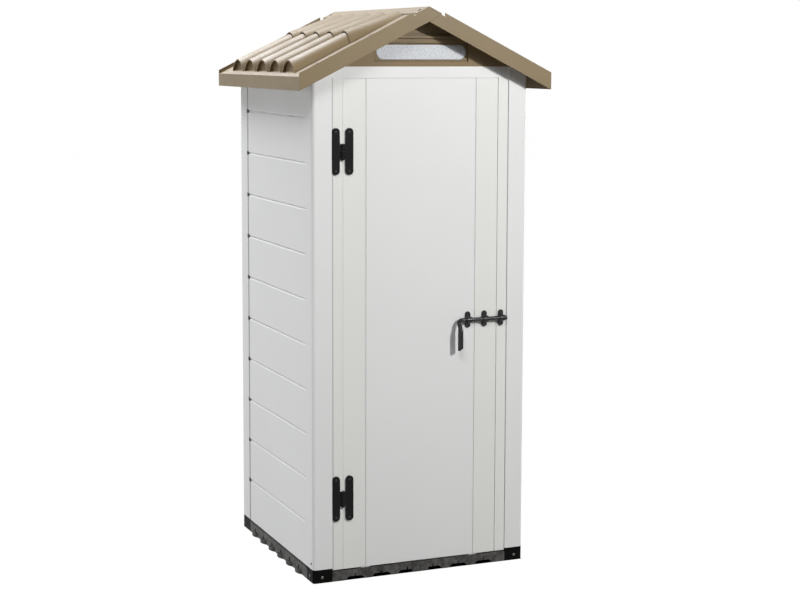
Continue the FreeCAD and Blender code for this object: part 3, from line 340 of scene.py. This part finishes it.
def moulded(name, colour, gloss, grain, edge, cloud=0.02, speck=0.02, patch=3.0, wave=0.0, specular=0.5,
            crevice=None, joints=()):
    """Moulded plastic: gloss is (roughness, its spread) and grain is (grains to the metre, depth).

    Cloud and speck are spreads of tone, patch is cloud features to the metre, wave is the depth of slow
    waves, crevice is (reach, tone) of painted shade in the piece's own folds, and joints are joint lines with
    painted shade along them.
    """
    material, tree, shader, place = start_material(name)
    slow = noise(tree, place, patch, detail=3.0)
    fast = noise(tree, place, SPECKS)
    tone = scaled(tree, plain_colour(tree, colour), varied(tree, slow, 1 - cloud, 1 + cloud))
    tone = scaled(tree, tone, varied(tree, fast, 1 - speck, 1 + speck))
    # Painted shade: the colour darkens where the piece's own folds close round a point
    if crevice:
        tone = scaled(tree, tone, painted_crevice_shade(tree, *crevice))
    # Painted shade along joint lines and gaps
    for joint in joints:
        tone = scaled(tree, tone, painted_joint_shade(tree, place, joint))
    tree.links.new(tone, shader.inputs["Base Color"])
    middle, spread = gloss
    roughness = varied(tree, noise(tree, place, GLOSS_PATCHES, detail=3.0), middle - spread, middle + spread)
    tree.links.new(roughness, shader.inputs["Roughness"])
    shader.inputs["Specular IOR Level"].default_value = specular
    normal = soft_edges(tree, edge)
    if wave:
        normal = bump(tree, noise(tree, place, WAVES, detail=1.0), wave, normal)
    grains, depth = grain
    normal = bump(tree, noise(tree, place, grains, detail=3.0), depth, normal)
    tree.links.new(normal, shader.inputs["Normal"])
    return material


def metal(name, colour, roughness):
    """Plated steel with fine marks."""
    material, tree, shader, place = start_material(name)
    marks = noise(tree, place, MARKS)
    tone = scaled(tree, plain_colour(tree, colour), varied(tree, marks, *MARK_TONES))
    tree.links.new(tone, shader.inputs["Base Color"])
    shader.inputs["Metallic"].default_value = 1.0
    gloss = varied(tree, marks, roughness - MARK_ROUGHNESS, roughness + MARK_ROUGHNESS)
    tree.links.new(gloss, shader.inputs["Roughness"])
    tree.links.new(bump(tree, marks, MARK_DEPTH, soft_edges(tree, METAL_EDGE)), shader.inputs["Normal"])
    return material


def rim_share(tree, place, node, width):
    """1 on the rim of a round-ended pane and 0 inside it."""
    low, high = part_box(node)
    radius = (high[2] - low[2]) / 2
    straight = (high[0] - low[0]) / 2 - radius
    middle = (high[2] + low[2]) / 2
    across = calculated(tree, "ABSOLUTE", axis_of(tree, place, "X"), 0.0)
    across = calculated(tree, "MAXIMUM", calculated(tree, "SUBTRACT", across, straight), 0.0)
    above = calculated(tree, "SUBTRACT", axis_of(tree, place, "Z"), middle)
    squares = [calculated(tree, "MULTIPLY", side, side) for side in (across, above)]
    away = calculated(tree, "SQRT", calculated(tree, "ADD", *squares), 0.0)
    return mapped(tree, away, radius - width, radius - width + PANE_RIM_BLEND, 0.0, 1.0)


def frosted(name, node):
    """Hammered pale pane with fine grey specks and a plain rim."""
    material, tree, shader, place = start_material(name)
    specks = noise(tree, place, PANE_SPECKS, detail=4.0, roughness=0.75)
    share = mapped(tree, specks, PANE_SPECK_START, PANE_SPECK_FULL, 0.0, PANE_SPECK_SHARE)
    colour = mixed(tree, share, linear(WINDOW_WHITE), linear(WINDOW_SPECK))
    colour = mixed(tree, rim_share(tree, place, node, PANE_RIM), colour, linear(WINDOW_WHITE))
    tree.links.new(colour, shader.inputs["Base Color"])
    tree.links.new(varied(tree, specks, *PANE_ROUGHNESS), shader.inputs["Roughness"])
    relief = noise(tree, place, PANE_HAMMERING)
    tree.links.new(bump(tree, relief, PANE_RELIEF, soft_edges(tree, PANE_EDGE)), shader.inputs["Normal"])
    return material


def rear_joint():
    """Where the side walls and the back wall meet."""
    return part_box("corner_foot_rear_left")[0][1] - REAR_JOINT_OFF


def board_materials():
    """White boards: the walls, the door's middle board, and the warmer frame and edge boards."""
    panel = {
        "gloss": (0.34, 0.05), "grain": (900.0, 0.012 * MM), "edge": 1.0 * MM, "cloud": 0.008, "speck": 0.006
    }
    # Painted shade along the gap between side wall and back wall, wider than the gap
    rear_lines = [("Y", rear_joint(), *REAR_LINE)]
    # Painted shade in the door boards' V-joints
    board_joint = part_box("door_panel_right")[0][0]
    board_lines = [("X", side * board_joint, *BOARD_LINE) for side in (-1, 1)]
    # Painted shadow lines where the corner strips step over the jambs' outer edges
    jamb_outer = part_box("door_jamb_right")[1][0]
    jamb_left = ("X", JAMB_LEFT_INSET - jamb_outer, *JAMB_LEFT_LINE)
    frame_lines = [*board_lines, jamb_left, ("X", jamb_outer, *JAMB_RIGHT_LINE)]
    return {
        "wall_white": moulded("wall_white", WALL_WHITE, wave=0.5 * MM, joints=rear_lines, **panel),
        "door_white": moulded("door_white", WALL_WHITE, wave=0.5 * MM, joints=board_lines, **panel),
        "frame_white": moulded("frame_white", FRAME_WHITE, wave=0.3 * MM, joints=frame_lines, **panel),
    }


def roof_materials():
    """Taupe roof and gables, and the mottled closed ends of the barrels."""
    grainy = {
        "gloss": (0.45, 0.05), "grain": (1400.0, 0.012 * MM), "edge": 1.2 * MM, "cloud": 0.05, "speck": 0.04
    }
    return {
        # Painted shade in the roof's valleys and barrel mouths, and deeper painted shade in the gable's
        # pocket and ledges
        "roof_brown": moulded("roof_brown", ROOF_TAUPE, specular=0.42, crevice=(30 * MM, 0.8), **grainy),
        "gable_brown": moulded("gable_brown", GABLE_TAUPE, specular=0.3, crevice=(14 * MM, 0.28), **grainy),
        "barrel_end": moulded(
            "barrel_end", END_TAUPE, gloss=(0.5, 0.05), grain=(500.0, 0.4 * MM), edge=0.5 * MM, cloud=0.3,
            speck=0.3, patch=70.0, specular=0.2
        ),
    }


def black_materials():
    """Black plastic of the floor and feet, and black coating of the hinges and bolt."""
    black = {"grain": (900.0, 0.02 * MM), "cloud": 0.05, "speck": 0.06}
    # Painted shadow lines along the floor tiles' joint and under the walls' foot
    floor_lines = [("X", 0.0, *TILE_LINE), ("Z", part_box("wall_left")[0][2], *WALL_FOOT_LINE)]
    return {
        # Painted shade round the floor's lugs and slits
        "floor_black": moulded(
            "floor_black", FLOOR_GREY, gloss=(0.5, 0.06), grain=(700.0, 0.15 * MM), edge=1.0 * MM, cloud=0.45,
            speck=0.35, patch=55.0, specular=0.1, crevice=(22 * MM, 0.3), joints=floor_lines
        ),
        "foot_black": moulded(
            "foot_black", FOOT_BLACK, gloss=(0.28, 0.05), edge=1.0 * MM, specular=0.01, **black
        ),
        "hinge_black": moulded(
            "hinge_black", HINGE_BLACK, gloss=(0.36, 0.05), edge=1.0 * MM, specular=0.12, **black
        ),
        "bolt_black": moulded(
            "bolt_black", BOLT_BLACK, gloss=(0.3, 0.05), edge=0.6 * MM, specular=0.3, **black
        ),
    }


def metal_materials():
    """Steel of the screws and the hinge pins."""
    return {
        "screw_zinc": metal("screw_zinc", ZINC_GREY, roughness=0.4),
        "screw_dark": metal("screw_dark", DARK_GREY, roughness=0.45),
        "pin_steel": metal("pin_steel", STEEL_GREY, roughness=0.3),
    }


def make_materials():
    """The finish of each material slot, by the slot's name."""
    return {
        **board_materials(),
        **roof_materials(),
        **black_materials(),
        "window_frosted": frosted("window_frosted", "gable_window"),
        **metal_materials(),
    }


def dress_nodes(materials):
    """Every piece gets the finish of its slot, and the door's frame and edge boards a warmer white."""
    warm = ("door_jamb_left", "door_jamb_right", "door_panel_left", "door_panel_right")
    for entry in RECORD["subparts"]:
        name = entry["node"]
        finish = "frame_white" if name in warm else entry["material_slot"]
        NODES[name].material_slots[0].material = materials[finish]


def rounded_middle(points):
    """Middle of some places, rounded for sorting."""
    return tuple(round(value, PLACE_DIGITS) for value in sum(points, Vector()) / len(points))


def islands(node):
    """Corner places of each separate solid in a node, in order of the solids' places."""
    mesh = bmesh.new()
    mesh.from_mesh(NODES[node].data)
    bmesh.ops.remove_doubles(mesh, verts=mesh.verts, dist=WELD)
    waiting = set(mesh.verts)
    groups = []
    for start in mesh.verts:
        if start not in waiting:
            continue
        waiting.discard(start)
        front = [start]
        group = []
        while front:
            vert = front.pop()
            group.append(vert.co.copy())
            for edge in vert.link_edges:
                other = edge.other_vert(vert)
                if other in waiting:
                    waiting.discard(other)
                    front.append(other)
        groups.append(group)
    mesh.free()
    return sorted(groups, key=rounded_middle)


def screw_head(points):
    """Middle of a screw's outer face, the way it faces, its head radius and its length."""
    left = Vector((-ROOF_SLOPE, 0, 1)).normalized()
    right = Vector((ROOF_SLOPE, 0, 1)).normalized()
    ways = [Vector((1, 0, 0)), Vector((-1, 0, 0)), Vector((0, 1, 0)), Vector((0, -1, 0)), left, right]
    best = None
    for way in ways:
        heights = [point.dot(way) for point in points]
        top = max(heights)
        rim = [point for point, height in zip(points, heights) if height > top - FLATNESS]
        if len(rim) < FACE_CORNERS:
            continue
        middle = sum(rim, Vector()) / len(rim)
        radius = max((point - middle).length for point in rim)
        if best is None or radius > best[2]:
            best = (middle, way, radius, top - min(heights))
    return best


def ring(mesh, radius, height, sides):
    """Ring of corners at one height."""
    angles = [2 * math.pi / sides * i for i in range(sides)]
    return [mesh.verts.new((radius * math.cos(angle), radius * math.sin(angle), height)) for angle in angles]


def bridge(mesh, lower, upper):
    """Faces between two rings."""
    count = len(lower)
    for i in range(count):
        mesh.faces.new((lower[i], lower[(i + 1) % count], upper[(i + 1) % count], upper[i]))


def screw_mesh(radius, length, dome):
    """Screw along Z with its outer face at 0: domed or flat head, cross socket and plain shank."""
    mesh = bmesh.new()
    shank = radius * SHANK_SHARE
    outline = [(shank * SHANK_SHARE, -length), (shank, shank - length), (shank, -HEAD_DEPTH)]
    if dome:
        outline.append((radius, -HEAD_DEPTH))
        for step in range(DOME_STEPS):
            angle = math.pi / 2 * step / DOME_STEPS
            outline.append((radius * math.cos(angle), dome * (math.sin(angle) - 1)))
    else:
        outline += [(radius, -HEAD_EDGE), (radius - HEAD_EDGE, 0)]
    rings = [ring(mesh, size, height, SCREW_SIDES) for size, height in outline]
    for lower, upper in zip(rings, rings[1:]):
        bridge(mesh, lower, upper)
    mesh.faces.new(list(reversed(rings[0])))
    cross_socket(mesh, rings[-1], radius)
    return mesh


def cross_socket(mesh, rim, radius):
    """Closes a screw head with a cross-shaped socket."""
    reach = radius * SOCKET_REACH
    half = radius * SOCKET_HALF
    plan = []
    for turn in range(4):
        turned = Matrix.Rotation(math.pi / 2 * turn, 2)
        plan += [turned @ Vector(corner) for corner in ((reach, -half), (reach, half), (half, half))]
    height = rim[0].co.z
    top = [mesh.verts.new((*corner, height)) for corner in plan]
    floor = [mesh.verts.new((*corner * SOCKET_TAPER, height - SOCKET_DEPTH)) for corner in plan]
    bridge(mesh, floor, top)
    mesh.faces.new(floor)
    edges = []
    for loop in (rim, top):
        for pair in zip(loop, loop[1:] + loop[:1]):
            edges.append(mesh.edges.get(pair) or mesh.edges.new(pair))
    bmesh.ops.triangle_fill(mesh, edges=edges, use_beauty=True)


def slot_of(node):
    """Material slot of a node, by the record."""
    return next(entry["material_slot"] for entry in RECORD["subparts"] if entry["node"] == node)


def linked(name, data):
    """Object in the scene that holds some data."""
    made = bpy.data.objects.new(name, data)
    bpy.context.scene.collection.objects.link(made)
    return made


def shaped(name, mesh, material):
    """Object of one material in the scene, from a mesh, which is used up."""
    data = bpy.data.meshes.new(name)
    mesh.to_mesh(data)
    mesh.free()
    data.materials.append(material)
    return linked(name, data)


def detailed_screws(node, body, dome, materials):
    """Screws with cross sockets in place of a node's plain ones."""
    whole = bmesh.new()
    for number, points in enumerate(islands(node)):
        middle, way, radius, length = screw_head(points)
        one = screw_mesh(radius, length, dome)
        turn = way.to_track_quat("Z", "Y").to_matrix().to_4x4()
        spin = Matrix.Rotation(math.radians(SCREW_TURN * number), 4, "Z")
        one.transform(Matrix.Translation(middle) @ turn @ spin)
        data = bpy.data.meshes.new("one_screw")
        one.to_mesh(data)
        one.free()
        whole.from_mesh(data)
        bpy.data.meshes.remove(data)
    bmesh.ops.recalc_face_normals(whole, faces=whole.faces)
    slot = slot_of(node)
    piece = shaped(node + "_detail", whole, materials[slot])
    piece.data.shade_smooth()
    split = piece.modifiers.new("sharp edges", "EDGE_SPLIT")
    split.split_angle = math.radians(SHARP_ANGLE)
    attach(piece, body)
    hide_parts(node)


def added_piece(name, mesh, material):
    """Still piece from a mesh, which is used up."""
    piece = shaped(name, mesh, material)
    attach(piece, "root")


def box_mesh(mesh, low, high):
    """Adds a plain box between two corners."""
    size = Vector(high) - Vector(low)
    middle = (Vector(high) + Vector(low)) / 2
    bmesh.ops.create_cube(mesh, size=1.0, matrix=Matrix.Translation(middle) @ Matrix.Diagonal((*size, 1.0)))


def door_seal(materials):
    """Pale lip in the gap along the door's hinged edge and its top."""
    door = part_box("door_panel_left")
    frame_edge = door[0][0] - SIDE_GAP
    front = door[0][1] + SEAL_DEPTH
    back = front + SEAL_THICKNESS
    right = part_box("door_panel_right")[1][0]
    mesh = bmesh.new()
    box_mesh(mesh, (frame_edge, front, door[0][2]), (door[0][0] - SEAL_CLEARANCE, back, door[1][2]))
    box_mesh(mesh, (frame_edge, front, door[1][2] + SEAL_CLEARANCE), (right, back, door[1][2] + TOP_GAP))
    added_piece("door_seal", mesh, materials["frame_white"])


def groove_end_shade_blocks(materials):
    """Dark blocks at the rear ends of the side wall grooves, where there is only shade in the grooves' open
    ends: painted shade as a piece.
    """
    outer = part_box("wall_left")[0]
    half_length = SHADE_BLOCK_LENGTH / 2
    half_height = SHADE_BLOCK_HEIGHT / 2
    mesh = bmesh.new()
    for side in (-1, 1):
        faces = sorted((side * (outer[0] + SHADE_BLOCK_DEPTH), side * (outer[0] - SHADE_BLOCK_PROUD)))
        for number in range(1, GROOVES + 1):
            height = outer[2] + number * GROOVE_PITCH
            low = (faces[0], rear_joint() - half_length, height - half_height)
            high = (faces[1], rear_joint() + half_length, height + half_height)
            box_mesh(mesh, low, high)
    # Black blocks in place of the shade in the open groove ends
    added_piece("groove_end_shade_blocks", mesh, materials["hinge_black"])


def barrel_ends(materials):
    """Closed ends of the eave barrels."""
    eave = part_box("roof_left")[0]
    spread = math.acos(END_MIDDLE_DROP / END_HALF_HEIGHT)
    angles = [spread * (2 * step / END_STEPS - 1) for step in range(END_STEPS + 1)]
    mesh = bmesh.new()
    for side in (-1, 1):
        for number in range(BARRELS):
            place = (number - (BARRELS - 1) / 2) * BARREL_PITCH
            outlines = []
            for inward in (EAVE_MARGIN + END_DEPTH, EAVE_MARGIN + END_DEPTH + END_THICKNESS):
                across = side * (-eave[0] - inward)
                middle = eave[2] + EAVE_HEIGHT + inward * ROOF_SLOPE - END_MIDDLE_DROP
                outline = []
                for angle in angles:
                    along = place + END_HALF_WIDTH * math.sin(angle)
                    height = middle + END_HALF_HEIGHT * math.cos(angle)
                    outline.append(mesh.verts.new((across, along, height)))
                outlines.append(outline)
            bridge(mesh, *outlines)
            for outline in outlines:
                mesh.faces.new(outline)
    bmesh.ops.recalc_face_normals(mesh, faces=mesh.faces)
    added_piece("barrel_ends", mesh, materials["barrel_end"])


def make_camera():
    """Camera at the photographed angle."""
    yaw = math.radians(CAMERA_YAW)
    pitch = math.radians(CAMERA_PITCH)
    roll = math.radians(CAMERA_ROLL)
    ahead = Vector((math.sin(yaw) * math.cos(pitch), math.cos(yaw) * math.cos(pitch), -math.sin(pitch)))
    level = Vector((math.cos(yaw), -math.sin(yaw), 0))
    above = level.cross(ahead)
    right = level * math.cos(roll) + above * math.sin(roll)
    up = above * math.cos(roll) - level * math.sin(roll)
    data = bpy.data.cameras.new("camera")
    data.sensor_fit = "HORIZONTAL"
    data.sensor_width = SENSOR_WIDTH
    data.lens = FOCAL_LENGTH_IN_PIXELS / FRAME_WIDTH * SENSOR_WIDTH
    data.shift_y = LENS_SHIFT
    camera = linked("camera", data)
    turn = Matrix((right, up, -ahead)).transposed().to_4x4()
    camera.matrix_world = Matrix.Translation(CAMERA_PLACE) @ turn
    bpy.context.scene.camera = camera


def soft_lamp(name, place, target, size, power, colour):
    """Square studio lamp that faces a target."""
    data = bpy.data.lights.new(name, "AREA")
    data.shape = "SQUARE"
    data.size = size
    data.energy = power
    data.color = colour
    lamp = linked(name, data)
    lamp.location = place
    lamp.rotation_euler = (Vector(target) - Vector(place)).to_track_quat("-Z", "Y").to_euler()


def shown_to_lens_and_gloss(tree):
    """1 for the rays that see the background as such, and 0 for those that gather light."""
    path = tree.nodes.new("ShaderNodeLightPath")
    seen = path.outputs["Is Camera Ray"]
    for ray in ("Is Glossy Ray", "Is Transmission Ray"):
        seen = calculated(tree, "MAXIMUM", seen, path.outputs[ray])
    return seen


def make_world():
    """White surroundings for the camera and for gloss, and a dimmer glow on matt surfaces."""
    world = bpy.data.worlds.new("studio")
    bpy.context.scene.world = world
    world.use_nodes = True
    world.cycles.sampling_method = "NONE"
    tree = world.node_tree
    tree.nodes.clear()
    seen = shown_to_lens_and_gloss(tree)
    background = tree.nodes.new("ShaderNodeBackground")
    background.inputs["Color"].default_value = (1, 1, 1, 1)
    tree.links.new(mapped(tree, seen, 0.0, 1.0, AMBIENT, 1.0), background.inputs["Strength"])
    output = tree.nodes.new("ShaderNodeOutputWorld")
    tree.links.new(background.outputs[0], output.inputs["Surface"])


def painted_shadow_mask(tree, place):
    """1 on the floor round the cabinet and 0 in the painted shadow under it."""
    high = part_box("corner_foot_rear_right")[1]
    shares = []
    for axis, half in (("X", high[0]), ("Y", high[1])):
        away = calculated(tree, "ABSOLUTE", axis_of(tree, place, axis), 0.0)
        shares.append(mapped(tree, away, half - PAINTED_SHADOW_EDGE, half, 0.0, 1.0))
    return calculated(tree, "MAXIMUM", *shares)


def make_floor():
    """Wide pale floor that stays white to the camera and keeps a faint shadow, with a painted black shadow
    under the cabinet.
    """
    material, tree, shader, place = start_material("floor_pale")
    patches = noise(tree, place, FLOOR_PATCHES)
    tone = varied(tree, patches, FLOOR_TONE - FLOOR_SPREAD, FLOOR_TONE + FLOOR_SPREAD)
    # Painted shadow: the floor's colour and its white are cut to black under the cabinet
    outside_painted_shadow = painted_shadow_mask(tree, place)
    tree.links.new(calculated(tree, "MULTIPLY", tone, outside_painted_shadow), shader.inputs["Base Color"])
    shader.inputs["Roughness"].default_value = FLOOR_ROUGHNESS
    shader.inputs["Specular IOR Level"].default_value = 0.0
    glow = tree.nodes.new("ShaderNodeEmission")
    glow.inputs["Strength"].default_value = FLOOR_GLOW
    blend = tree.nodes.new("ShaderNodeMixShader")
    seen = calculated(tree, "MULTIPLY", shown_to_lens_and_gloss(tree), outside_painted_shadow)
    tree.links.new(calculated(tree, "MULTIPLY", seen, FLOOR_WHITENING), blend.inputs["Fac"])
    tree.links.new(shader.outputs[0], blend.inputs[1])
    tree.links.new(glow.outputs[0], blend.inputs[2])
    tree.links.new(blend.outputs[0], tree.nodes["Material Output"].inputs["Surface"])
    mesh = bmesh.new()
    bmesh.ops.create_grid(mesh, x_segments=1, y_segments=1, size=FLOOR_REACH)
    floor = shaped("floor", mesh, material)


def main():
    """Dress the frame and light it."""
    bpy.context.scene.view_settings.view_transform = "Standard"
    materials = make_materials()
    dress_nodes(materials)
    for node, (body, dome) in SCREWS.items():
        detailed_screws(node, body, dome, materials)
    door_seal(materials)
    groove_end_shade_blocks(materials)
    barrel_ends(materials)
    make_camera()
    make_world()
    make_floor()
    for name, lamp in LAMPS.items():
        soft_lamp(name, *lamp)


main()
